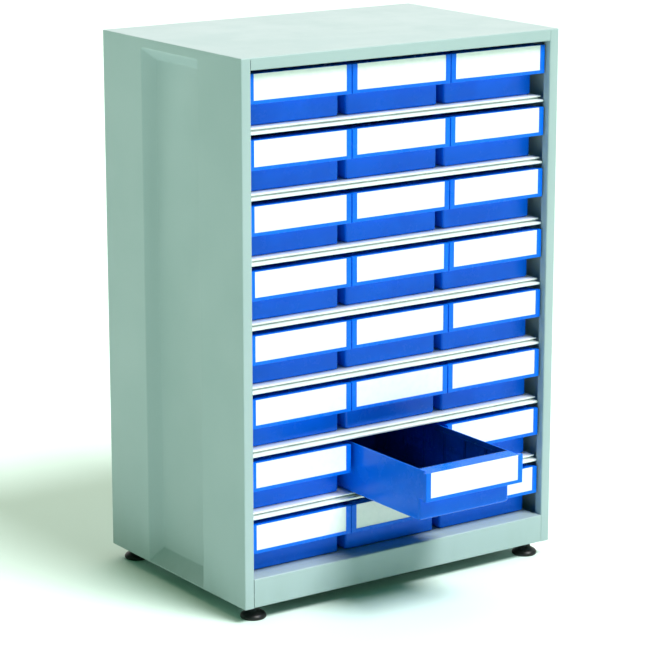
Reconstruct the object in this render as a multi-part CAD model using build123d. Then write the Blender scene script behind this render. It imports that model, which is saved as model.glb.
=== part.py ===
from build123d import *

import os

# Parts organizer: a sheet-steel cabinet with eight rows of three plastic drawers, standing on levelling feet.
# Millimetres. +Z is up, -Y is the front, and the origin lies on the floor under the middle of the cabinet.
# The feet stand unscrewed by 4 mm: with their collars against the base, the cabinet is 870 mm tall.

# ---- driving dimensions: cabinet ----
CABINET_WIDTH = 600.0
CABINET_DEPTH = 400.0
CABINET_HEIGHT = 874.0
FOOT_HEIGHT = 24.0
SHEET = 1.0
BASE_SHEET = 1.5
BEND = 1.0
STILE_WIDTH = 17.0
STILE_RETURN = 15.0
TOP_RAIL = 19.0
TOP_EDGE = 3.0
TOP_HEM = 12.0
RAIL_RETURN = 14.0
SEAM = 0.2

# ---- driving dimensions: pressed recess in each side panel ----
RECESS_DEPTH = 17.5
RECESS_FRONT = 120.0
RECESS_BACK = 283.0
RECESS_BOTTOM = 26.0
RECESS_TOP = 859.0
RECESS_TOE = 24.5
RECESS_CORNER = 5.0
RECESS_RIM = 3.0

# ---- driving dimensions: rows, shelves and base ----
ROWS = 8
COLUMNS = ("left", "middle", "right")
ROW_PITCH = 99.4
COLUMN_PITCH = 187.5
DECK_TOP = 70.2
SHELF_BACK = 192.0
SHELF_SETBACK = 13.0
SHELF_FLANGE = 12.0
SHELF_BEND = 0.25
NOSE = 2.6
NOSE_SETBACK = 7.0
GROOVE = 3.0
GROOVE_DEPTH = 14.0
LIP = 3.8
LIP_RETURN = 12.0
SIDE_FLANGE_START = 20.0
PLINTH_RETURN = 17.6
TRAY_FLANGE = 42.0
TRAY_END_HEIGHT = 30.0

# ---- driving dimensions: drawer ----
DRAWER_GAP = 0.3
DRAWER_SETBACK = 10.0
DRAWER_LENGTH = 380.0
DRAWER_HEIGHT = 82.0
FRONT_WIDTH = 186.0
BODY_WIDTH = 173.0
WALL = 2.0
GRIP_DEPTH = 26.0
FRONT_BOTTOM = 36.5
FRONT_RIM = 8.0
FRONT_SKIN = 3.0
LEDGE_DEPTH = 30.0
CORNER = 4.0
RAIL_HEIGHT = 74.0
RAIL_PROUD = 1.2
RIB_PROUD = 1.6
RIB_WIDTH = 1.5
RIB_GAP = 2.2
RIB_FIRST = 82.0
RIB_PITCH = 53.0
RIB_STATIONS = 6
EAR_START = 318.5
EAR_LENGTH = 12.0
EAR_TOP = 93.0

# ---- driving dimensions: label card and its holder ----
WINDOW_WIDTH = 168.0
WINDOW_BOTTOM = 42.0
HOLDER_DEPTH = 1.4
HOLDER_LIP = 0.7
HOLDER_OVERLAP = 1.5
CARD_THICKNESS = 0.6
CARD_CLEARANCE = 0.3
CARD_PLAY = 0.05
CARD_TOP_GAP = 0.4

# ---- the drawer that stands open at rest ----
OPEN_ROW = 7
OPEN_COLUMN = "middle"
OPEN_DISTANCE = 193.0

# ---- driving dimensions: feet and fasteners ----
FOOT_INSET_X = 31.0
FOOT_INSET_Y = 25.5
PAD_RADIUS = 20.5
PAD_EDGE = 1.5
PAD_RIM_TOP = 4.5
SHOULDER_INSET = 2.5
SHOULDER_TOP = 8.0
NECK_PROUD = 1.5
NECK_START = 11.5
NECK_TOP = 14.5
COLLAR_RADIUS = 9.5
COLLAR_TOP = 20.0
STUD_RADIUS = 4.0
STUD_TOP = 48.0
STUD_CHAMFER = 1.0
STUD_CLEARANCE = 0.5
NUT_BORE = 4.05
NUT_FLATS = 13.0
NUT_HEIGHT = 6.5
SCREW_RADIUS = 2.0
SCREW_CLEARANCE = 0.3
SCREW_HEAD_RADIUS = 4.2
SCREW_HEAD_HEIGHT = 2.2
SCREW_LENGTH = 7.0
CROSS_LENGTH = 4.4
CROSS_WIDTH = 0.9
CROSS_DEPTH = 1.2
SCREWS_PER_SIDE = 5
SCREW_MARGIN = 60.0

HALF_WIDTH = CABINET_WIDTH / 2
FRONT = -CABINET_DEPTH / 2
BACK = CABINET_DEPTH / 2
STILE_INNER = HALF_WIDTH - STILE_WIDTH
PANEL_TOP = CABINET_HEIGHT - TOP_EDGE
RAIL_BOTTOM = CABINET_HEIGHT - TOP_RAIL
SHELF_HALF = HALF_WIDTH - RECESS_DEPTH - SHEET
BACK_PANEL_Y = BACK - SHEET


def span(x0, x1, y0, y1, z0, z1):
    """A box from its lowest and highest corners."""
    return Pos((x0 + x1) / 2, (y0 + y1) / 2, (z0 + z1) / 2) * Box(x1 - x0, y1 - y0, z1 - z0)


def bent_sheet(corners, thickness, bend):
    """Cross-section of a bent sheet: corners lie on its outer face, and the metal is on their right."""
    points = [Vector(*corner) for corner in corners]
    runs = [(b - a).normalized() for a, b in zip(points, points[1:])]
    inward = [Vector(run.Y, -run.X) for run in runs]
    inner = [points[0] + inward[0] * thickness]
    outer_radii = [0.0]
    inner_radii = [0.0]
    for i in range(1, len(points) - 1):
        before, after = inward[i - 1], inward[i]
        inner.append(points[i] + (before + after) * (thickness / (1 + before.dot(after))))
        turns_inward = runs[i - 1].X * runs[i].Y - runs[i - 1].Y * runs[i].X < 0
        outer_radii.append(bend + thickness if turns_inward else bend)
        inner_radii.append(bend if turns_inward else bend + thickness)
    inner.append(points[-1] + inward[-1] * thickness)
    outer_radii.append(0.0)
    inner_radii.append(0.0)
    outline = FilletPolyline(*points, *reversed(inner), radius=outer_radii + inner_radii[::-1], close=True)
    return make_face(outline.edges())


def along_x(face, x0, x1):
    """Carries a section drawn as (y, z) from x0 to x1."""
    return extrude(Plane.YZ.offset(x0) * face, amount=x1 - x0)


def along_y(face, y0, y1):
    """Carries a section drawn as (x, z) from y0 to y1."""
    section = Plane(origin=(0, y1, 0), x_dir=(1, 0, 0), z_dir=(0, -1, 0))
    return extrude(section * face, amount=y1 - y0)


def along_z(face, z0, z1):
    """Carries a section drawn as (x, y) from z0 to z1."""
    return extrude(Plane.XY.offset(z0) * face, amount=z1 - z0)


def recess_solid(growth, floor_growth, toe_growth, depth, corner):
    """The tapered block that the pressed recess takes out of the left side, grown on all sides."""
    outside = Plane(origin=(-HALF_WIDTH, 0, 0), x_dir=(0, 1, 0), z_dir=(1, 0, 0))
    y0, y1 = FRONT + RECESS_FRONT, FRONT + RECESS_BACK
    mouth_size = (y1 - y0 + 2 * growth, RECESS_TOP - RECESS_BOTTOM + growth + toe_growth)
    mouth_centre = ((y0 + y1) / 2, (RECESS_TOP + growth + RECESS_BOTTOM - toe_growth) / 2)
    mouth = outside * Pos(*mouth_centre) * Rectangle(*mouth_size)
    floor_bottom = RECESS_BOTTOM + RECESS_TOE - floor_growth
    floor_top = RECESS_TOP - RECESS_DEPTH + floor_growth
    floor_size = (y1 - y0 - 2 * RECESS_DEPTH + 2 * floor_growth, floor_top - floor_bottom)
    floor_centre = ((y0 + y1) / 2, (floor_bottom + floor_top) / 2)
    floor = outside.offset(depth) * Pos(*floor_centre) * Rectangle(*floor_size)
    block = loft([mouth.face(), floor.face()])
    slanted = block.edges().filter_by(lambda e: abs((e @ 0).X - (e @ 1).X) > depth / 2)
    block = fillet(slanted, corner)
    floor_x = -HALF_WIDTH + depth
    floor_edges = block.edges().filter_by_position(Axis.X, floor_x - 0.01, floor_x + 0.01)
    return fillet(floor_edges, corner)


def side_panel():
    """The left side: a channel with a front stile, a rear flange and a pressed recess."""
    section = bent_sheet(
        [
            (-STILE_INNER, FRONT + STILE_RETURN),
            (-STILE_INNER, FRONT),
            (-HALF_WIDTH, FRONT),
            (-HALF_WIDTH, BACK),
            (-STILE_INNER, BACK),
        ],
        SHEET,
        BEND,
    )
    panel = along_z(section, FOOT_HEIGHT, PANEL_TOP)
    flange = (-HALF_WIDTH + SHEET, -STILE_INNER, FRONT + SHEET, BACK - SHEET)
    panel += span(*flange, FOOT_HEIGHT, FOOT_HEIGHT + SHEET)
    panel += span(*flange, PANEL_TOP - SHEET, PANEL_TOP)
    skin_depth, skin_corner = RECESS_DEPTH + SHEET, RECESS_CORNER + SHEET
    pressed_skin = recess_solid(1.414 * SHEET, 0.414 * SHEET, 1.7 * SHEET, skin_depth, skin_corner)
    hollow = recess_solid(0.0, 0.0, 0.0, RECESS_DEPTH, RECESS_CORNER)
    panel = panel + pressed_skin - hollow
    for x, z in screw_places():
        panel -= Pos(x, BACK_PANEL_Y, z) * Rot(90, 0, 0) * Cylinder(SCREW_RADIUS + SCREW_CLEARANCE, 4 * SHEET)
    mouth_y = (FRONT + RECESS_FRONT - 1, FRONT + RECESS_BACK + 1)
    rim = (
        panel.edges()
        .filter_by_position(Axis.X, -HALF_WIDTH - 0.01, -HALF_WIDTH + 0.01)
        .filter_by_position(Axis.Y, *mouth_y)
        .filter_by_position(Axis.Z, RECESS_BOTTOM + 1, RECESS_TOP + 1)
    )
    return fillet(rim, RECESS_RIM)


def top_panel():
    """The top: front rail, flat top and rear flange in one bent sheet, with hemmed side edges."""
    section = bent_sheet(
        [
            (FRONT + RAIL_RETURN, RAIL_BOTTOM),
            (FRONT, RAIL_BOTTOM),
            (FRONT, CABINET_HEIGHT),
            (BACK, CABINET_HEIGHT),
            (BACK, RAIL_BOTTOM),
        ],
        SHEET,
        BEND,
    )
    top = along_x(section, -HALF_WIDTH, HALF_WIDTH)
    for side in (-1, 1):
        inner, outer = STILE_INNER - SEAM / 2, HALF_WIDTH + 1
        x0, x1 = sorted((side * inner, side * outer))
        top -= span(x0, x1, FRONT - 1, BACK + 1, RAIL_BOTTOM - 1, PANEL_TOP)
        x0, x1 = sorted((side * (HALF_WIDTH - TOP_HEM), side * HALF_WIDTH))
        top += span(x0, x1, FRONT + SHEET, BACK - SHEET, PANEL_TOP, CABINET_HEIGHT - SHEET)
    top_z = (CABINET_HEIGHT - 0.01, CABINET_HEIGHT + 0.01)
    side_edges = top.edges().filter_by(Axis.Y).filter_by_position(Axis.Z, *top_z)
    outer_edges = [edge for edge in side_edges if abs(edge.center().X) > HALF_WIDTH - 0.01]
    return fillet(outer_edges, BEND + SHEET / 2)


def back_panel():
    """The back: a flat sheet behind the rear flanges, stiffened by two pressed grooves."""
    half = HALF_WIDTH - SHEET - BEND
    y0, y1 = BACK_PANEL_Y - SHEET, BACK_PANEL_Y
    panel = span(-half, half, y0, y1, FOOT_HEIGHT + 2, PANEL_TOP - 2)
    groove_depth, groove_width, groove_length = 2.5, 16.0, 660.0
    middle = (FOOT_HEIGHT + PANEL_TOP) / 2
    outside = Plane(origin=(0, y1, middle), x_dir=(0, 0, 1), z_dir=(0, -1, 0))
    for x in (-HALF_WIDTH / 3, HALF_WIDTH / 3):
        place = outside * Pos(0, x)
        skin = place * SlotOverall(groove_length + 0.8 * SHEET, groove_width + 0.8 * SHEET)
        hollow = place * SlotOverall(groove_length, groove_width)
        panel += extrude(skin, amount=groove_depth + SHEET, taper=40)
        panel -= extrude(hollow, amount=groove_depth, taper=40)
    for x, z in screw_places():
        panel -= Pos(x, y0, z) * Rot(90, 0, 0) * Cylinder(SCREW_RADIUS, 6 * SHEET)
    return panel


def screw_places():
    """Centres (x, z) of the back panel's screws: one column in each rear flange."""
    rise = (PANEL_TOP - FOOT_HEIGHT - 2 * SCREW_MARGIN) / (SCREWS_PER_SIDE - 1)
    x = HALF_WIDTH - STILE_WIDTH / 2
    heights = [FOOT_HEIGHT + SCREW_MARGIN + i * rise for i in range(SCREWS_PER_SIDE)]
    return [(side * x, z) for side in (-1, 1) for z in heights]


def back_screws():
    """Cross-recessed pan-head screws through the rear flanges into the back panel."""
    screws = []
    for x, z in screw_places():
        shank = Pos(0, 0, -SCREW_LENGTH / 2) * Cylinder(SCREW_RADIUS, SCREW_LENGTH)
        head = Pos(0, 0, SCREW_HEAD_HEIGHT / 2) * Cylinder(SCREW_HEAD_RADIUS, SCREW_HEAD_HEIGHT)
        head = fillet(head.edges().group_by(Axis.Z)[-1], SCREW_HEAD_HEIGHT * 0.7)
        slit = Pos(0, 0, SCREW_HEAD_HEIGHT) * Box(CROSS_LENGTH, CROSS_WIDTH, 2 * CROSS_DEPTH)
        for turn in (0, 90):
            head -= Rot(0, 0, turn) * slit
        screws.append(Pos(x, BACK, z) * Rot(-90, 0, 0) * (shank + head))
    return Compound(children=screws)


def foot_places():
    """Centres (x, y) of the four feet, by name."""
    x, y = HALF_WIDTH - FOOT_INSET_X, BACK - FOOT_INSET_Y
    return {"front_left": (-x, -y), "front_right": (x, -y), "back_left": (-x, y), "back_right": (x, y)}


def base_tray():
    """The deck under the bottom row, its turned-in flanges, and a weld nut over each foot."""
    section = bent_sheet(
        [
            (-SHELF_HALF + TRAY_FLANGE, FOOT_HEIGHT),
            (-SHELF_HALF, FOOT_HEIGHT),
            (-SHELF_HALF, DECK_TOP),
            (SHELF_HALF, DECK_TOP),
            (SHELF_HALF, FOOT_HEIGHT),
            (SHELF_HALF - TRAY_FLANGE, FOOT_HEIGHT),
        ],
        BASE_SHEET,
        BEND,
    )
    y0, y1 = FRONT + PLINTH_RETURN + SEAM, BACK_PANEL_Y - SHEET - SEAM
    tray = along_y(section, y0, y1)
    inside = SHELF_HALF - BASE_SHEET
    tray += span(-inside, inside, y0, y0 + BASE_SHEET, DECK_TOP - TRAY_END_HEIGHT, DECK_TOP - BASE_SHEET)
    tray += span(-inside, inside, y1 - BASE_SHEET, y1, DECK_TOP - TRAY_END_HEIGHT, DECK_TOP - BASE_SHEET)
    nuts = []
    for x, y in foot_places().values():
        tray -= Pos(x, y, FOOT_HEIGHT) * Cylinder(STUD_RADIUS + STUD_CLEARANCE, 4 * BASE_SHEET)
        blank = RegularPolygon(NUT_FLATS / 2, 6, major_radius=False) - Circle(NUT_BORE)
        nuts.append(Pos(x, y, FOOT_HEIGHT + BASE_SHEET) * extrude(blank, amount=NUT_HEIGHT))
    return Compound(children=[tray, *nuts])


def plinth():
    """The kick plate between the stiles, with its top flange level with the deck."""
    section = bent_sheet(
        [
            (FRONT + PLINTH_RETURN, FOOT_HEIGHT),
            (FRONT, FOOT_HEIGHT),
            (FRONT, DECK_TOP),
            (FRONT + PLINTH_RETURN, DECK_TOP),
        ],
        SHEET,
        BEND,
    )
    return along_x(section, -STILE_INNER + SEAM, STILE_INNER - SEAM)


def shelf(top):
    """One zinc-plated shelf: a flat deck, a channelled front edge and a turned-down rear edge."""
    front = FRONT + SHELF_SETBACK
    groove_bottom = top - NOSE - GROOVE
    section = bent_sheet(
        [
            (front + LIP_RETURN, groove_bottom - LIP),
            (front, groove_bottom - LIP),
            (front, groove_bottom),
            (front + GROOVE_DEPTH, groove_bottom),
            (front + GROOVE_DEPTH, top - NOSE),
            (front + NOSE_SETBACK, top - NOSE),
            (front + NOSE_SETBACK, top),
            (SHELF_BACK, top),
            (SHELF_BACK, top - SHELF_FLANGE),
        ],
        SHEET,
        SHELF_BEND,
    )
    plate = along_x(section, -SHELF_HALF, SHELF_HALF)
    for side in (-1, 1):
        x0, x1 = sorted((side * (SHELF_HALF - SHEET), side * SHELF_HALF))
        y0, y1 = front + SIDE_FLANGE_START, SHELF_BACK - SHEET
        plate += span(x0, x1, y0, y1, top - SHELF_FLANGE, top - SHEET / 2)
    return plate


def shelves():
    """The seven shelves between the rows, each its own solid."""
    return Compound(children=[shelf(DECK_TOP + ROW_PITCH * row) for row in range(1, ROWS)])


def foot():
    """A levelling foot on z = 0: moulded pad, collar and threaded stud, unscrewed a little from the base."""
    outline = Polyline(
        (0, 0),
        (PAD_RADIUS - PAD_EDGE, 0),
        (PAD_RADIUS, PAD_EDGE),
        (PAD_RADIUS, PAD_RIM_TOP),
        (PAD_RADIUS - SHOULDER_INSET, SHOULDER_TOP),
        (COLLAR_RADIUS + NECK_PROUD, NECK_START),
        (COLLAR_RADIUS, NECK_TOP),
        (COLLAR_RADIUS, COLLAR_TOP),
        (STUD_RADIUS, COLLAR_TOP),
        (STUD_RADIUS, STUD_TOP - STUD_CHAMFER),
        (STUD_RADIUS - STUD_CHAMFER, STUD_TOP),
        (0, STUD_TOP),
        close=True,
    )
    return revolve(Plane.XZ * make_face(outline.edges()), Axis.Z)


def drawer():
    """A moulded drawer: y = 0 is its front face, z = 0 its underside, x = 0 its middle."""
    half_front, half_body, half_inside = FRONT_WIDTH / 2, BODY_WIDTH / 2, BODY_WIDTH / 2 - WALL
    top, end = DRAWER_HEIGHT, DRAWER_LENGTH

    box = span(-half_body, half_body, GRIP_DEPTH, end, 0, top + CORNER)
    box = fillet(box.edges().filter_by(Axis.Z), CORNER)
    box = fillet(box.edges().group_by(Axis.Z)[0], CORNER)
    hollow = span(-half_inside, half_inside, GRIP_DEPTH + WALL, end - WALL, WALL, top + 2 * CORNER)
    hollow = fillet(hollow.edges().filter_by(Axis.Z), CORNER - WALL)
    hollow = fillet(hollow.edges().group_by(Axis.Z)[0], CORNER - WALL)
    body = box - hollow - span(-half_front, half_front, 0, end + 1, top, top + 3 * CORNER)

    front = span(-half_front, half_front, 0, FRONT_RIM, FRONT_BOTTOM, top)
    front_edges = front.edges().filter_by_position(Axis.Y, -0.01, 0.01)
    front = fillet(front_edges, 1.0)
    front -= span(
        -half_front + WALL, half_front - WALL, FRONT_SKIN, FRONT_RIM + 1, FRONT_BOTTOM + WALL, top - WALL
    )
    neck = span(-half_body, half_body, FRONT_SKIN, LEDGE_DEPTH, FRONT_BOTTOM, top)
    cavity = span(
        -half_inside, half_inside, FRONT_SKIN, GRIP_DEPTH + WALL, FRONT_BOTTOM + WALL, top - WALL
    )
    under_ledge = span(-half_inside, half_inside, GRIP_DEPTH, LEDGE_DEPTH + 1, FRONT_BOTTOM + WALL, top - WALL)
    inside_below = span(-half_inside, half_inside, GRIP_DEPTH + WALL, LEDGE_DEPTH + 1, WALL, top - WALL)
    shell = body + front + neck - cavity - under_ledge - inside_below

    window = span(-WINDOW_WIDTH / 2, WINDOW_WIDTH / 2, -1, HOLDER_DEPTH, WINDOW_BOTTOM, top + 1)
    slot_half = WINDOW_WIDTH / 2 + HOLDER_OVERLAP
    slot = span(-slot_half, slot_half, HOLDER_LIP, HOLDER_DEPTH, WINDOW_BOTTOM - 1, top + 1)
    shell = shell - window - slot

    for side in (-1, 1):
        x0, x1 = sorted((side * (half_inside - RAIL_PROUD), side * (half_inside + WALL / 2)))
        shell += span(x0, x1, LEDGE_DEPTH, end - WALL, RAIL_HEIGHT - 1.5, RAIL_HEIGHT)
        x0, x1 = sorted((side * (half_inside - RIB_PROUD), side * (half_inside + WALL / 2)))
        for i in range(RIB_STATIONS):
            for offset in (-RIB_GAP / 2 - RIB_WIDTH, RIB_GAP / 2):
                y0 = RIB_FIRST + i * RIB_PITCH + offset
                shell += span(x0, x1, y0, y0 + RIB_WIDTH, WALL / 2, RAIL_HEIGHT)
        x0, x1 = sorted((side * half_inside, side * half_body))
        shell += span(x0, x1, EAR_START, EAR_START + EAR_LENGTH, top - 1, EAR_TOP)
    return shell


def label():
    """The blank paper card that slides down into the drawer's holder."""
    half = WINDOW_WIDTH / 2 + HOLDER_OVERLAP - CARD_CLEARANCE
    y0 = HOLDER_LIP + CARD_PLAY
    z0, z1 = WINDOW_BOTTOM - 1 + CARD_CLEARANCE, DRAWER_HEIGHT - CARD_TOP_GAP
    return span(-half, half, y0, y0 + CARD_THICKNESS, z0, z1)


def drawer_place(row, column):
    """Where a drawer's own origin lies in the cabinet, rows counted from the top."""
    x = (COLUMNS.index(column) - 1) * COLUMN_PITCH
    y = FRONT + DRAWER_SETBACK
    if (row, column) == (OPEN_ROW, OPEN_COLUMN):
        y -= OPEN_DISTANCE
    return Pos(x, y, DECK_TOP + DRAWER_GAP + ROW_PITCH * (ROWS - row))


left_side = side_panel()
one_drawer = drawer()
one_label = label()
one_foot = foot()

nodes = {
    "left_side_panel": left_side,
    "right_side_panel": mirror(left_side, about=Plane.YZ),
    "top_panel": top_panel(),
    "back_panel": back_panel(),
    "back_screws": back_screws(),
    "base_tray": base_tray(),
    "plinth": plinth(),
    "shelves": shelves(),
}
for place, (x, y) in foot_places().items():
    nodes[f"foot_{place}"] = Pos(x, y, 0) * one_foot
for row in range(1, ROWS + 1):
    for column in COLUMNS:
        nodes[f"drawer_{row}_{column}"] = drawer_place(row, column) * one_drawer
        nodes[f"label_{row}_{column}"] = drawer_place(row, column) * one_label

os.makedirs("parts", exist_ok=True)
for name, shape in nodes.items():
    export_step(shape, f"parts/{name}.step")
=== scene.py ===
# %% [markdown]
# # A small-parts cabinet in painted steel and blue plastic
#
# The cabinet is a bent-sheet case on four levelling feet. Seven zinc-plated shelves carry twenty-four moulded
# drawers, and each drawer holds a white label card. The engineering model already has every panel, shelf and
# drawer at its stored size, so this script loads it as a fixed frame and does three things around it. It
# gives every surface a finish, it makes the small pieces that deserve a finer shape, and it sets up light and
# camera.

# %% Load the frame
import math

import bpy
import numpy as np
from mathutils import Euler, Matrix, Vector


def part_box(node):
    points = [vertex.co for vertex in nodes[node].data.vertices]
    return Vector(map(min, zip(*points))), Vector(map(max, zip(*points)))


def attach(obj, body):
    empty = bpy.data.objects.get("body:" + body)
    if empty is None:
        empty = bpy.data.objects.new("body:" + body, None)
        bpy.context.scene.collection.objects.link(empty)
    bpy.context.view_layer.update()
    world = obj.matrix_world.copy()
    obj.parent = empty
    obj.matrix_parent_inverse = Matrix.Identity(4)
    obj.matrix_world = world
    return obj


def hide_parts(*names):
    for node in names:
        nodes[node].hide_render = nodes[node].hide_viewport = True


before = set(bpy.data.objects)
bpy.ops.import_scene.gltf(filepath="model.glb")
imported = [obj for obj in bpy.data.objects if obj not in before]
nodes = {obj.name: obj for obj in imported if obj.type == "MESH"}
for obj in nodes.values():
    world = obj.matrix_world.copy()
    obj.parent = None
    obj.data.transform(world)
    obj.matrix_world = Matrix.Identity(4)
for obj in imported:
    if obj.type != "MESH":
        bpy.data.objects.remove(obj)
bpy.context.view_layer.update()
DRAWERS = sorted(name for name in nodes if name.startswith("drawer_"))
LABELS = sorted(name for name in nodes if name.startswith("label_"))
FEET = sorted(name for name in nodes if name.startswith("foot_"))
PANELS = ["left_side_panel", "right_side_panel", "top_panel", "back_panel", "base_tray", "plinth"]
print(len(nodes), "nodes,", len(DRAWERS), "drawers,", len(LABELS), "labels,", len(FEET), "feet")

# %% [markdown]
# ## The grid of drawers
#
# Many finishes need to know where a drawer's own edges are. Every drawer is the same moulding, repeated at an
# even pitch, so two pitches and one corner describe all of them. They are read from the frame: the pitch
# between two rows, the pitch between two columns, and the underside of the lowest row. The rear of the top
# panel gives the plane in which the back's screws sit.

# %% Measure the grid
MM = 0.001
low_left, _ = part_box("drawer_8_left")
low_middle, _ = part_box("drawer_8_middle")
next_row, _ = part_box("drawer_7_left")
COLUMN_PITCH = low_middle.x - low_left.x
ROW_PITCH = next_row.z - low_left.z
DRAWER_BASE = low_left.z
_, top_panel_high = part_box("top_panel")
BACK_FACE = top_panel_high.y
print(f"columns {COLUMN_PITCH / MM:.1f} mm apart, rows {ROW_PITCH / MM:.1f} mm apart")

# %% [markdown]
# ## Small tools for node trees
#
# A finish is a little graph of nodes that ends in one Principled shader. Building graphs by hand gets long,
# so `node` adds one node and wires it in a single call: each named input is either a plain value or the
# output socket of an earlier node. `noise`, `band` and `blend` are the three patterns used again and again:
# cloudy noise, a soft step from 0 to 1, and a mix of two colours.

# %% Node helpers
def node(tree, kind, inputs=None, **settings):
    """Adds a shader node. inputs maps socket names or numbers to values or to other nodes' outputs."""
    made = tree.nodes.new("ShaderNode" + kind)
    for key, value in settings.items():
        setattr(made, key, value)
    for key, value in (inputs or {}).items():
        if isinstance(value, bpy.types.NodeSocket):
            tree.links.new(value, made.inputs[key])
        else:
            made.inputs[key].default_value = value
    return made


def start_material(name, colour, metallic, roughness):
    """A new material, its node tree, its Principled shader and the object coordinates in metres."""
    material = bpy.data.materials.new(name)
    material.use_nodes = True
    tree = material.node_tree
    shader = tree.nodes["Principled BSDF"]
    shader.inputs["Base Color"].default_value = (*colour, 1)
    shader.inputs["Metallic"].default_value = metallic
    shader.inputs["Roughness"].default_value = roughness
    place = node(tree, "TexCoord").outputs["Object"]
    return material, tree, shader, place


def stretched(tree, place, scale):
    """The coordinates multiplied by scale along X, Y and Z, which stretches a pattern the other way."""
    return node(tree, "Mapping", {"Vector": place, "Scale": scale}).outputs["Vector"]


def noise(tree, place, scale, detail=2.0, roughness=0.5):
    """Cloudy noise from 0 to 1, with about scale blotches per metre."""
    settings = {"Vector": place, "Scale": scale, "Detail": detail, "Roughness": roughness}
    return node(tree, "TexNoise", settings).outputs["Fac"]


def band(tree, value, start, end, low=0.0, high=1.0):
    """A soft step: low up to start, high from end on, and smooth in between."""
    settings = {"Value": value, "From Min": start, "From Max": end, "To Min": low, "To Max": high}
    return node(tree, "MapRange", settings, interpolation_type="SMOOTHSTEP").outputs["Result"]


def maths(tree, operation, first, second=0.0):
    """One arithmetic step on two values."""
    return node(tree, "Math", {0: first, 1: second}, operation=operation).outputs["Value"]


def blend(tree, amount, first, second):
    """The colour first where amount is 0 and second where it is 1."""
    made = node(tree, "Mix", {"Factor": amount}, data_type="RGBA")
    for socket, colour in ((made.inputs[6], first), (made.inputs[7], second)):
        if isinstance(colour, bpy.types.NodeSocket):
            tree.links.new(colour, socket)
        else:
            socket.default_value = (*colour, 1)
    return made.outputs[2]


def bump(tree, shader, height, distance, strength=1.0):
    """Tilts the shading as if the surface rose by height times distance, in metres."""
    made = node(tree, "Bump", {"Height": height, "Distance": distance, "Strength": strength})
    tree.links.new(made.outputs["Normal"], shader.inputs["Normal"])


print("seven helpers for node trees and one that starts a material")

# %% [markdown]
# ## Powder coat
#
# The case is sheet steel under a pale grey-green powder coat. Powder melts into a skin that is smooth but
# never flat: it has a fine ripple, called orange peel, about two millimetres across. A flat grey would look
# like paper, so four things are layered. The ripple is a small bump. Broad, faint clouds shift the tone by
# about five percent. Handling leaves the coat slightly duller in soft patches, which changes the roughness.
# Low down the colour darkens in streaks: partly dust, partly painted shade near the floor.

# %% Powder-coated steel
DUST_AND_SHADE_TOP = 100 * MM
DUST_AND_SHADE_FULL = 20 * MM


def powder_coat():
    """Pale grey-green satin coat with orange peel, faint clouds, handling marks, and dust with painted shade
    low down.
    """
    fresh = (0.385, 0.485, 0.500)
    shaded = (0.365, 0.468, 0.480)
    # The next colour is dust together with painted shade, for the lowest part of the coat near the floor.
    dust_and_shade = (0.25, 0.34, 0.32)
    material, tree, shader, place = start_material("powder_coat", fresh, 0.0, 0.42)
    clouds = noise(tree, place, 3.5, 3.0)
    height = node(tree, "SeparateXYZ", {"Vector": place}).outputs["Z"]
    low_down = band(tree, height, DUST_AND_SHADE_TOP, DUST_AND_SHADE_FULL)
    # Low down the coat darkens in streaks: dust, and painted shade near the floor.
    dust_and_shade_streaks = maths(tree, "MULTIPLY", low_down, noise(tree, stretched(tree, place, (9, 9, 3)), 4.0, 5.0))
    colour = blend(tree, band(tree, clouds, 0.35, 0.65), fresh, shaded)
    colour = blend(tree, maths(tree, "MULTIPLY", dust_and_shade_streaks, 0.55), colour, dust_and_shade)
    tree.links.new(colour, shader.inputs["Base Color"])
    handling = noise(tree, place, 11.0, 4.0, 0.6)
    tree.links.new(band(tree, handling, 0.3, 0.75, 0.36, 0.50), shader.inputs["Roughness"])
    peel = noise(tree, place, 620.0, 1.0)
    bump(tree, shader, peel, 0.00004, 0.6)
    return material


POWDER = powder_coat()
print("made", POWDER.name)

# %% [markdown]
# ## Zinc-plated sheet
#
# The shelves are zinc-plated steel. Sheet is rolled, so its surface carries very fine lines along the rolling
# direction, here left to right, and the plating adds soft, duller patches. Noise that is squeezed across the
# rolling direction and stretched along it gives the lines; the same noise drives the roughness, so highlights
# break up into streaks. Drawers slide front to back on the shelf, so faint rub marks run that way. The
# shelves are shaded only partly as metal, so that their front edges stay nearly white and don't mirror the
# room. The screws are full metal with grain that has no direction.

# %% Zinc-plated steel
AVERAGE_GRAIN = 0.13


def zinc_plate(name, rolling, metallic, roughness):
    """Bright zinc: metal with rolling lines, soft patches and faint rub marks."""
    bright = (0.90, 0.94, 0.92)
    dull = (0.78, 0.83, 0.82)
    material, tree, shader, place = start_material(name, bright, metallic, roughness)
    lines = noise(tree, stretched(tree, place, rolling), 1.0, 3.0, 0.6)
    patches = noise(tree, place, 26.0, 3.0)
    tone = maths(tree, "MULTIPLY", band(tree, patches, 0.35, 0.7), 0.6)
    tree.links.new(blend(tree, tone, bright, dull), shader.inputs["Base Color"])
    rubbed = noise(tree, stretched(tree, place, (700, 9, 60)), 1.0, 2.0)
    grain = maths(tree, "ADD", maths(tree, "MULTIPLY", lines, 0.16), maths(tree, "MULTIPLY", rubbed, 0.10))
    tree.links.new(maths(tree, "ADD", grain, roughness - AVERAGE_GRAIN), shader.inputs["Roughness"])
    bump(tree, shader, lines, 0.00002, 0.5)
    return material


SHELF_ZINC = zinc_plate("shelf_zinc", (14.0, 900.0, 900.0), 0.20, 0.46)
SCREW_ZINC = zinc_plate("screw_zinc", (900.0, 900.0, 900.0), 1.0, 0.34)
print("made", SHELF_ZINC.name, "and", SCREW_ZINC.name)
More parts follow.
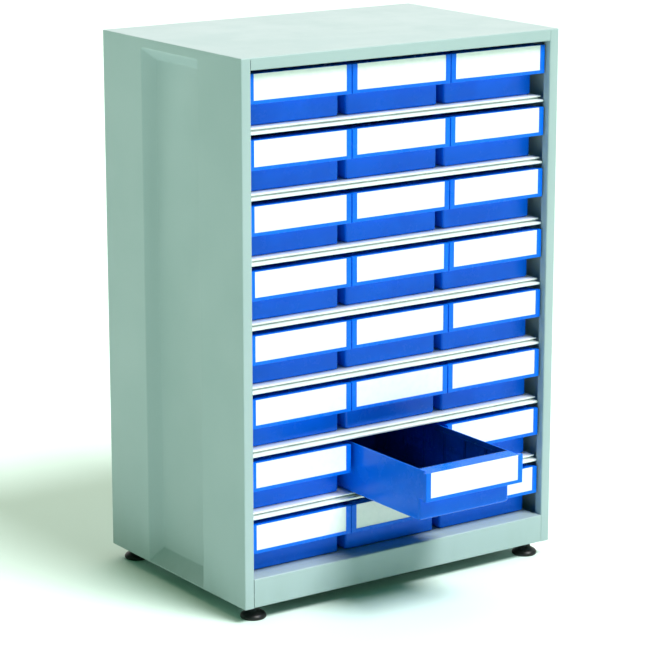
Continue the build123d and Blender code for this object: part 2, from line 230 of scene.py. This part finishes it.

# %% [markdown]
# ## Blue moulded plastic
#
# The drawers are injection-moulded in a strong blue. A polished mould gives a glossy skin with a very fine
# texture left from the tool. The plastic slides on zinc every day, so its lowest part carries long hairline
# scratches, front to back. A band of each drawer near mid-height, where fingers take hold of it, is a little
# paler and duller. The inner faces are painted much darker, as painted shade, mottled by noise. The pattern
# repeats for each row and column, so the place inside a drawer is the place in the cabinet, less the lowest
# drawer's corner, modulo the pitch. Only the front plane differs: the drawer that stands open has its own.

# %% Blue plastic
WALL = 2.0 * MM
INSIDE_HALF_WIDTH = 85.2 * MM
INSIDE_START = 27.0 * MM
INSIDE_END = 378.6 * MM
SCRATCH_TOP = 20 * MM
SCRATCH_FULL = 2 * MM
GRIP_START = 28 * MM
GRIP_FULL = 36 * MM
GRIP_FADE = 40 * MM
GRIP_END = 46 * MM


def blue_plastic(name, front):
    """Glossy blue with tool texture, scratches low down, a handled band and painted shade inside."""
    fresh = (0.001, 0.160, 0.90)
    deep = (0.001, 0.138, 0.82)
    worn = (0.02, 0.20, 0.90)
    # The next colour is painted shade for the inner faces of the drawers.
    painted_inside_shade = (0.002, 0.055, 0.26)
    material, tree, shader, place = start_material(name, fresh, 0.0, 0.26)
    shader.inputs["Specular IOR Level"].default_value = 0.16
    axes = node(tree, "SeparateXYZ", {"Vector": place})
    height = maths(tree, "SUBTRACT", axes.outputs["Z"], DRAWER_BASE)
    in_drawer = maths(tree, "FLOORED_MODULO", height, ROW_PITCH)
    clouds = noise(tree, place, 14.0, 2.0)
    colour = blend(tree, band(tree, clouds, 0.35, 0.65), fresh, deep)
    half_pitch_on = maths(tree, "ADD", axes.outputs["X"], COLUMN_PITCH / 2)
    from_column = maths(tree, "FLOORED_MODULO", half_pitch_on, COLUMN_PITCH)
    off_middle = maths(tree, "ABSOLUTE", maths(tree, "SUBTRACT", from_column, COLUMN_PITCH / 2))
    between_sides = maths(tree, "LESS_THAN", off_middle, INSIDE_HALF_WIDTH)
    above_floor = maths(tree, "GREATER_THAN", in_drawer, WALL / 2)
    behind_front = maths(tree, "GREATER_THAN", axes.outputs["Y"], front + INSIDE_START)
    before_end = maths(tree, "LESS_THAN", axes.outputs["Y"], front + INSIDE_END)
    inside = maths(tree, "MULTIPLY", between_sides, above_floor)
    inside = maths(tree, "MULTIPLY", inside, maths(tree, "MULTIPLY", behind_front, before_end))
    # Painted shade: the inner faces of each drawer darken towards this colour, mottled by noise.
    inside_shade_mottle = band(tree, noise(tree, place, 24.0, 5.0, 0.65), 0.25, 0.75, 0.72, 1.0)
    colour = blend(tree, maths(tree, "MULTIPLY", inside, inside_shade_mottle), colour, painted_inside_shade)
    hairlines = noise(tree, stretched(tree, place, (500, 7, 1300)), 1.0, 2.0)
    sliding_zone = band(tree, in_drawer, SCRATCH_TOP, SCRATCH_FULL)
    sliding = maths(tree, "MULTIPLY", band(tree, hairlines, 0.60, 0.72), sliding_zone)
    grip_low = band(tree, in_drawer, GRIP_START, GRIP_FULL)
    grip_high = band(tree, in_drawer, GRIP_END, GRIP_FADE)
    fingerprints = band(tree, noise(tree, place, 55.0, 5.0, 0.65), 0.45, 0.72)
    handled = maths(tree, "MULTIPLY", fingerprints, maths(tree, "MULTIPLY", grip_low, grip_high))
    marks = maths(tree, "MAXIMUM", sliding, handled)
    colour = blend(tree, maths(tree, "MULTIPLY", marks, 0.22), colour, worn)
    tree.links.new(colour, shader.inputs["Base Color"])
    gloss = band(tree, noise(tree, place, 32.0, 4.0, 0.6), 0.3, 0.8, 0.20, 0.32)
    dulled = maths(tree, "ADD", gloss, maths(tree, "MULTIPLY", marks, 0.22))
    tree.links.new(dulled, shader.inputs["Roughness"])
    texture = noise(tree, place, 1500.0, 1.0)
    bump(tree, shader, texture, 0.000012, 0.6)
    return material


BLUES = {}
for name in DRAWERS:
    front = round(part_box(name)[0].y, 4)
    if front not in BLUES:
        BLUES[front] = blue_plastic(f"blue_plastic_{len(BLUES) + 1}", front)
print("made", [blue.name for blue in BLUES.values()])

# %% [markdown]
# ## Label card
#
# Card is a mat of paper fibres: bright, without gloss, and very slightly mottled. Two noises of different
# sizes give the mottle and the fibre bump.

# %% White card
def white_card():
    """Matt white card with paper fibre and a faint mottle."""
    white = (0.90, 0.925, 0.915)
    mottled = (0.85, 0.885, 0.88)
    material, tree, shader, place = start_material("white_card", white, 0.0, 0.72)
    shader.inputs["Specular IOR Level"].default_value = 0.3
    mottle = noise(tree, place, 90.0, 5.0, 0.6)
    tree.links.new(blend(tree, band(tree, mottle, 0.4, 0.7), white, mottled), shader.inputs["Base Color"])
    fibre = noise(tree, stretched(tree, place, (1, 1, 1.6)), 900.0, 3.0, 0.7)
    bump(tree, shader, fibre, 0.00003, 0.5)
    return material


CARD = white_card()
print("made", CARD.name)

# %% [markdown]
# ## Black feet
#
# The pads are matt black moulded plastic. They stand on a dusty floor and nobody polishes them, so the black
# is lifted a little by patches of dust and by scuffs near the floor.

# %% Black plastic
SCUFF_TOP = 6 * MM


def black_plastic():
    """Matt black with floor dust near z = 0 and a pebbled tool texture."""
    black = (0.006, 0.006, 0.007)
    dust = (0.040, 0.040, 0.038)
    material, tree, shader, place = start_material("black_plastic", black, 0.0, 0.5)
    shader.inputs["Specular IOR Level"].default_value = 0.3
    height = node(tree, "SeparateXYZ", {"Vector": place}).outputs["Z"]
    near_floor = band(tree, height, SCUFF_TOP, 0.0)
    scuffed = maths(tree, "MULTIPLY", near_floor, noise(tree, place, 320.0, 4.0, 0.7))
    dusted = band(tree, noise(tree, place, 140.0, 4.0), 0.55, 0.8, 0.0, 0.3)
    amount = maths(tree, "MAXIMUM", scuffed, dusted)
    tree.links.new(blend(tree, amount, black, dust), shader.inputs["Base Color"])
    tree.links.new(band(tree, amount, 0.0, 0.6, 0.42, 0.68), shader.inputs["Roughness"])
    bump(tree, shader, noise(tree, place, 1400.0, 1.0), 0.00003, 0.6)
    return material


BLACK = black_plastic()
print("made", BLACK.name)

# %% [markdown]
# ## Dress the engineering parts
#
# A part that comes from an engineering model arrives as loose triangles: flat faces are fine, but a bend in
# sheet metal shows as facets. Its shape must not change, so it is finished by modifiers. Weld joins the loose
# triangles into one skin, smooth shading rounds off the bends, and Edge Split keeps every corner sharper than
# thirty degrees crisp.

# %% Finish the frame's own parts
SHARP_ANGLE = math.radians(30)
WELD_DISTANCE = 0.002 * MM


def smooth_with_crisp_corners(piece):
    """Smooth shading everywhere, split along every edge that is sharper than SHARP_ANGLE."""
    polygons = piece.data.polygons
    polygons.foreach_set("use_smooth", np.ones(len(polygons), dtype=bool))
    split = piece.modifiers.new("crisp_corners", "EDGE_SPLIT")
    split.split_angle = SHARP_ANGLE


def dress(part, material):
    """Gives a part its finish, and smooth bends with crisp corners."""
    part.data.materials.clear()
    part.data.materials.append(material)
    weld = part.modifiers.new("join_triangles", "WELD")
    weld.merge_threshold = WELD_DISTANCE
    smooth_with_crisp_corners(part)


for name in PANELS:
    dress(nodes[name], POWDER)
dress(nodes["shelves"], SHELF_ZINC)
for name in DRAWERS:
    dress(nodes[name], BLUES[round(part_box(name)[0].y, 4)])
print("dressed", len(PANELS) + 1 + len(DRAWERS), "parts")

# %% [markdown]
# ## Surfaces from grids
#
# Every new piece is a grid of points worked out by a formula, whole arrays at a time. `grid_faces` joins the
# grid's neighbours into four-sided faces, and can close the grid on itself across its columns, as a tube
# does. `surface` turns several such patches into one object and merges the points that they share, so that
# poles and seams are closed.

# %% Grid helpers
def grid_faces(rows, columns, close_columns=False):
    """Quads of a rows by columns grid of points, counter-clockwise as columns then rows increase."""
    row = np.arange(rows - 1)
    column = np.arange(columns if close_columns else columns - 1)
    row, column = np.meshgrid(row, column, indexing="ij")
    next_row = row + 1
    next_column = (column + 1) % columns
    corners = [(row, column), (row, next_column), (next_row, next_column), (next_row, column)]
    return np.stack([r * columns + c for r, c in corners], axis=-1).reshape(-1, 4)


def surface(name, patches, material, body, stands_for):
    """One object from (points, faces) patches, riding on a body and standing for the frame's parts named."""
    points, faces, start = [], [], 0
    for patch_points, patch_faces in patches:
        points.append(patch_points.reshape(-1, 3))
        faces.append(patch_faces + start)
        start += len(points[-1])
    points, faces = np.concatenate(points), np.concatenate(faces)
    _, first, merged = np.unique(np.round(points, 8), axis=0, return_index=True, return_inverse=True)
    faces = merged.reshape(-1)[faces]
    mesh = bpy.data.meshes.new(name)
    mesh.from_pydata(points[first].tolist(), [], [drop_repeats(face) for face in faces.tolist()])
    mesh.update()
    mesh.materials.append(material)
    piece = bpy.data.objects.new(name, mesh)
    bpy.context.scene.collection.objects.link(piece)
    smooth_with_crisp_corners(piece)
    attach(piece, body)
    if stands_for:
        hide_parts(*stands_for)
    return piece


def drop_repeats(face):
    """A face's points with repeats removed: a quad that touches a pole becomes a triangle."""
    return list(dict.fromkeys(face))


print("a grid of 3 by 4 points has", len(grid_faces(3, 4)), "faces")

# %% [markdown]
# ## Levelling feet
#
# Each corner stands on a levelling foot: a moulded pad with a collar, on a threaded stud that screws into a
# nut inside the base. A foot could be turned from one outline, but its collar has flutes for the fingers, and
# the stud has a real thread. Both are one formula: the radius is a function of the angle round the axis and
# of the height. The flutes are shallow cosines round the collar, faded in above its shoulder. A thread is a
# triangle wave whose phase turns once for each pitch of height.

# %% Shape the feet
FOOT_SEGMENTS = 96
FLUTES = 16
FLUTE_DEPTH = 0.45 * MM
THREAD_PITCH = 1.25 * MM
THREAD_DEPTH = 0.65 * MM
STUD_SEGMENTS = 48
STUD_ROWS_PER_PITCH = 8
COLLAR_RADIUS = 9.0 * MM
COLLAR_TOP = 20.0 * MM
FLUTE_START = 13.0 * MM
FLUTE_FADE = 2.0 * MM
STUD_RADIUS = 3.98 * MM
STUD_TOP_TAPER = 1.5 * MM
STUD_FOOT_TAPER = 1.0 * MM
PAD_OUTLINE = [
    (0, 0.6), (8.0, 0.6), (9.0, 0.0), (19.0, 0.0), (20.5, 1.6), (20.5, 4.2),
    (18.2, 7.4), (11.2, 11.4), (9.5, 14.6), (9.5, 20.0), (3.6, 20.0), (0, 20.0),
]
PAD_ROUNDING = [0.4, 0.4, 0.6, 0.6, 1.0, 1.2, 2.0, 1.4, 0.5, 0.4]


def rounded_outline(corners, radii, steps=6):
    """(radius, height) corners, each rounded by a quadratic curve that starts at its radius from it."""
    corners = np.array(corners, float)
    parts = [corners[:1]]
    t = np.linspace(0, 1, steps)[:, None]
    for before, corner, after, radius in zip(corners, corners[1:], corners[2:], radii):
        start = corner + (before - corner) / np.linalg.norm(before - corner) * radius
        end = corner + (after - corner) / np.linalg.norm(after - corner) * radius
        parts.append((1 - t) ** 2 * start + 2 * t * (1 - t) * corner + t**2 * end)
    return np.concatenate([*parts, corners[-1:]])


def foot_pad(centre_x, centre_y):
    """Radius and height follow the outline, and cosine flutes cut into the radius of the collar."""
    outline = rounded_outline(PAD_OUTLINE, PAD_ROUNDING) * MM
    radius, height = outline[:, :1], outline[:, 1:]
    angle = np.linspace(0, 2 * math.pi, FOOT_SEGMENTS, endpoint=False)[None, :]
    fade = np.clip((height - FLUTE_START) / FLUTE_FADE, 0, 1) * (radius > COLLAR_RADIUS)
    radius = radius - fade * FLUTE_DEPTH * (0.5 - 0.5 * np.cos(FLUTES * angle))
    x, y = centre_x + radius * np.cos(angle), centre_y + radius * np.sin(angle)
    points = np.stack([x, y, np.broadcast_to(height, x.shape)], axis=-1)
    return points, grid_faces(*points.shape[:2], close_columns=True)


def foot_stud(centre_x, centre_y, top):
    """A thread: the radius drops by a triangle wave of height over pitch, less angle over a full turn."""
    rows = int((top - COLLAR_TOP) / THREAD_PITCH) * STUD_ROWS_PER_PITCH
    height = np.linspace(COLLAR_TOP, top, rows)[:, None]
    angle = np.linspace(0, 2 * math.pi, STUD_SEGMENTS, endpoint=False)[None, :]
    phase = np.mod(height / THREAD_PITCH - angle / (2 * math.pi), 1.0)
    below_top = np.clip((top - height) / STUD_TOP_TAPER, 0, 1)
    above_collar = np.clip((height - COLLAR_TOP) / STUD_FOOT_TAPER, 0, 1)
    radius = STUD_RADIUS - THREAD_DEPTH * (1 - below_top * above_collar * np.abs(2 * phase - 1))
    radius[0] = 0.0
    radius[-1] = 0.0
    x, y = centre_x + radius * np.cos(angle), centre_y + radius * np.sin(angle)
    points = np.stack([x, y, np.broadcast_to(height, x.shape)], axis=-1)
    return points, grid_faces(*points.shape[:2], close_columns=True)


for name in FEET:
    low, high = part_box(name)
    middle_x, middle_y = (low.x + high.x) / 2, (low.y + high.y) / 2
    pad = foot_pad(middle_x, middle_y)
    piece = surface(f"{name}_pad", [pad], BLACK, name, [name])
    stud = foot_stud(middle_x, middle_y, high.z)
    surface(f"{name}_stud", [stud], SCREW_ZINC, name, [])
    print(piece.name, len(piece.data.polygons), "faces")

# %% [markdown]
# ## Label cards
#
# A card slides down behind two lips. A flat box would reflect like plastic, but a real card has been pressed
# into place: it bows out between the lips by a fraction of a millimetre, its top edge leans, and no two sit
# quite alike. The card is a closed skin of six patches, a front, a back and four edges, and the bow is a
# parabola of the distance from the middle. A seeded generator varies bow and lean.

# %% Shape the cards
CARD_BOW = 0.12 * MM
CARD_COLUMNS = 33
CARD_ROWS = 9
CARD_THICKNESS = 0.45 * MM
CARD_SETBACK = 0.08 * MM
CARD_LEAN = 0.05 * MM
rng = np.random.default_rng(24)


def card_skin(low, high, bow, lean):
    """Front and back sheets of a card whose middle bows towards -Y by bow and whose top leans by lean."""
    u, v = np.meshgrid(np.linspace(0, 1, CARD_COLUMNS), np.linspace(0, 1, CARD_ROWS))
    x = low.x + (high.x - low.x) * u
    z = low.z + (high.z - low.z) * v
    swell = bow * (1 - (2 * u - 1) ** 2) * (0.6 + 0.4 * v) + lean * v
    front = np.stack([x, low.y + CARD_SETBACK - swell, z], axis=-1)
    back = front + np.array([0, CARD_THICKNESS, 0])
    faces = grid_faces(CARD_ROWS, CARD_COLUMNS)
    ring = np.concatenate([front[:, :1], back[:, :1]], axis=1)[::-1]
    left_edge = (ring, grid_faces(CARD_ROWS, 2))
    right_edge = (np.concatenate([front[:, -1:], back[:, -1:]], axis=1), grid_faces(CARD_ROWS, 2))
    top_edge = (np.stack([front[-1], back[-1]]), grid_faces(2, CARD_COLUMNS))
    bottom_edge = (np.stack([back[0], front[0]]), grid_faces(2, CARD_COLUMNS))
    return [(front, faces), (back[:, ::-1], faces), left_edge, right_edge, top_edge, bottom_edge]


for name in LABELS:
    low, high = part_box(name)
    bow = CARD_BOW * rng.uniform(0.4, 1.0)
    lean = CARD_LEAN * rng.uniform(-1, 1)
    drawer = name.replace("label", "drawer")
    surface(f"{name}_card", card_skin(low, high, bow, lean), CARD, drawer, [name])
print(len(LABELS), "cards, bowed by up to", CARD_BOW / MM, "mm")

# %% [markdown]
# ## Screws in the back
#
# Ten pan-head screws hold the back panel. The head is a low dome with a cross pressed into it. On a polar
# grid the dome is a function of the distance from the axis, and the cross is cut by lowering every point that
# lies close to one of two lines through the middle. The trench fades out towards its ends.

# %% Shape the screws
SCREW_HEAD_RADIUS = 4.2 * MM
SCREW_HEAD_HEIGHT = 2.2 * MM
SCREW_SHANK_RADIUS = 2.0 * MM
SCREW_LENGTH = 7.0 * MM
RECESS_HALF_WIDTH = 0.5 * MM
RECESS_REACH = 2.3 * MM
RECESS_DEPTH = 1.3 * MM
RECESS_FADE = 0.8 * MM
DOME_DROP = 0.45
SCREW_RINGS = 28
SCREW_SEGMENTS = 64
GAP_BETWEEN_SCREWS = 20 * MM


def screw_skin(x, y, z):
    """Dome: height falls with the square of the radius. Cross: a sloping trench along both axes."""
    ring = np.linspace(0, 1, SCREW_RINGS)[:, None]
    angle = np.linspace(0, 2 * math.pi, SCREW_SEGMENTS, endpoint=False)[None, :]
    radius = ring * SCREW_HEAD_RADIUS
    across, along = radius * np.cos(angle), radius * np.sin(angle)
    near = np.minimum(np.abs(across), np.abs(along))
    trench = np.clip((1.5 * RECESS_HALF_WIDTH - near) / RECESS_HALF_WIDTH, 0, 1)
    reach = np.clip((RECESS_REACH - radius) / RECESS_FADE, 0, 1)
    dome = SCREW_HEAD_HEIGHT * (1 - DOME_DROP * ring**2) - RECESS_DEPTH * trench * reach
    head = np.stack([x + across, y + dome, z + along], axis=-1)
    outline = [
        (SCREW_HEAD_RADIUS, (1 - DOME_DROP) * SCREW_HEAD_HEIGHT),
        (SCREW_HEAD_RADIUS, 0.0),
        (SCREW_SHANK_RADIUS, 0.0),
        (SCREW_SHANK_RADIUS, -SCREW_LENGTH),
        (0.0, -SCREW_LENGTH),
    ]
    side_radius, side_height = np.array(outline).T[:, :, None]
    side_x = x + side_radius * np.cos(angle)
    side_z = z + side_radius * np.sin(angle)
    side = np.stack([side_x, np.broadcast_to(y + side_height, side_x.shape), side_z], axis=-1)
    head_faces = grid_faces(*head.shape[:2], close_columns=True)
    side_faces = grid_faces(*side.shape[:2], close_columns=True)
    return [(head, head_faces), (side, side_faces)]


def screw_places():
    """Middles of the ten screws: the frame's screws node, sorted into separate screws by height and side."""
    points = np.array([vertex.co for vertex in nodes["back_screws"].data.vertices])
    centres = []
    for side in (-1, 1):
        on_side = points[points[:, 0] * side > 0]
        column = (on_side[:, 0].min() + on_side[:, 0].max()) / 2
        edges = np.sort(np.unique(np.round(on_side[:, 2], 3)))
        groups = np.split(edges, np.where(np.diff(edges) > GAP_BETWEEN_SCREWS)[0] + 1)
        centres += [(column, BACK_FACE, (group.min() + group.max()) / 2) for group in groups]
    return centres


screws = [patch for place in screw_places() for patch in screw_skin(*place)]
surface("back_panel_screws", screws, SCREW_ZINC, "cabinet", ["back_screws"])
print(len(screw_places()), "screws")

# %% [markdown]
# ## Floor
#
# The cabinet stands on a plain pale floor, thirty metres each way, so that it runs past the edge of the main
# view. It is a single flat face, because a distant light falls on it evenly.

# %% Make the floor
FLOOR_HALF = 30.0


def pale_floor():
    """Plain pale floor, a breath green so that shade on it and above it is cool, with a faint mottle."""
    pale = (0.78, 0.93, 0.87)
    material, tree, shader, place = start_material("pale_floor", pale, 0.0, 0.8)
    mottle = band(tree, noise(tree, place, 2.0, 3.0), 0.3, 0.7)
    tree.links.new(blend(tree, mottle, pale, (0.77, 0.92, 0.86)), shader.inputs["Base Color"])
    return material


floor_side = np.array([-FLOOR_HALF, FLOOR_HALF])
floor_x, floor_y = np.meshgrid(floor_side, floor_side)
floor_points = np.stack([floor_x, floor_y, np.zeros_like(floor_x)], axis=-1).reshape(-1, 3)
floor_mesh = bpy.data.meshes.new("floor")
floor_mesh.from_pydata(floor_points.tolist(), [], grid_faces(2, 2).tolist())
floor_mesh.materials.append(pale_floor())
floor = bpy.data.objects.new("floor", floor_mesh)
bpy.context.scene.collection.objects.link(floor)
print("floor", 2 * FLOOR_HALF, "m square")

# %% [markdown]
# ## Light
#
# A broad key light, high on the right in front, gives the front its brightness. It leaves the left side in
# calm shade, lifted only by the surround, by light from the floor and by the soft edge of the overhead light.
# The overhead light is very broad and slightly warm. The surround is a dim green, which cools the shade, and
# it brightens to white behind the cabinet.

# %% Place the lights
KEY_TOWARDS = (0.24, -0.64, 1.0)
OVERHEAD_TOWARDS = (0.15, 0.20, 1.0)
OVERHEAD_COLOUR = (1.0, 0.78, 0.70)
BACKDROP_TOWARDS = (0.55, 0.82, 0.12)
SURROUND_DIM = (0.06, 0.22, 0.12)
SURROUND_BRIGHT = (1.15, 1.15, 1.12)


def sun(name, towards, strength, softness, colour=(1, 1, 1)):
    """An even, distant light that shines from the direction towards; softness is its width in degrees."""
    data = bpy.data.lights.new(name, "SUN")
    data.energy = strength
    data.color = colour
    data.angle = math.radians(softness)
    light = bpy.data.objects.new(name, data)
    light.rotation_euler = Vector(towards).to_track_quat("Z", "Y").to_euler()
    bpy.context.scene.collection.objects.link(light)
    return light


sun("key", KEY_TOWARDS, 3.85, 22.0)
sun("overhead", OVERHEAD_TOWARDS, 1.1, 70.0, OVERHEAD_COLOUR)


def surround():
    """A dim green surround that brightens to white in the backdrop's direction, behind the cabinet."""
    world = bpy.data.worlds.new("surround")
    world.use_nodes = True
    tree = world.node_tree
    direction = node(tree, "TexCoord").outputs["Generated"]
    backdrop = Vector(BACKDROP_TOWARDS).normalized()
    dot = node(tree, "VectorMath", {0: direction, 1: backdrop}, operation="DOT_PRODUCT")
    facing = dot.outputs["Value"]
    amount = band(tree, facing, 0.45, 0.85)
    background = tree.nodes["Background"]
    tree.links.new(blend(tree, amount, SURROUND_DIM, SURROUND_BRIGHT), background.inputs["Color"])
    return world


bpy.context.scene.world = surround()
bpy.context.scene.view_settings.view_transform = "Standard"
print("two soft lights and a green surround that is white behind the cabinet")

# %% [markdown]
# ## Camera
#
# The camera stands in front and to the left, a little above the cabinet's top, and looks slightly down. It is
# far away with a long lens, so vertical edges stay nearly parallel.

# %% Place the camera
CAMERA_PLACE = (-2.413, -3.453, 1.426)
CAMERA_YAW = 34.9
CAMERA_PITCH = 13.87
CAMERA_LENS = 146.3
CAMERA_SENSOR = 36.0
camera_data = bpy.data.cameras.new("camera")
camera_data.lens = CAMERA_LENS
camera_data.sensor_width = CAMERA_SENSOR
camera = bpy.data.objects.new("camera", camera_data)
camera.location = CAMERA_PLACE
camera.rotation_euler = Euler((math.radians(90 - CAMERA_PITCH), 0, math.radians(-CAMERA_YAW)))
bpy.context.scene.collection.objects.link(camera)
bpy.context.scene.camera = camera
print("camera", CAMERA_PLACE)
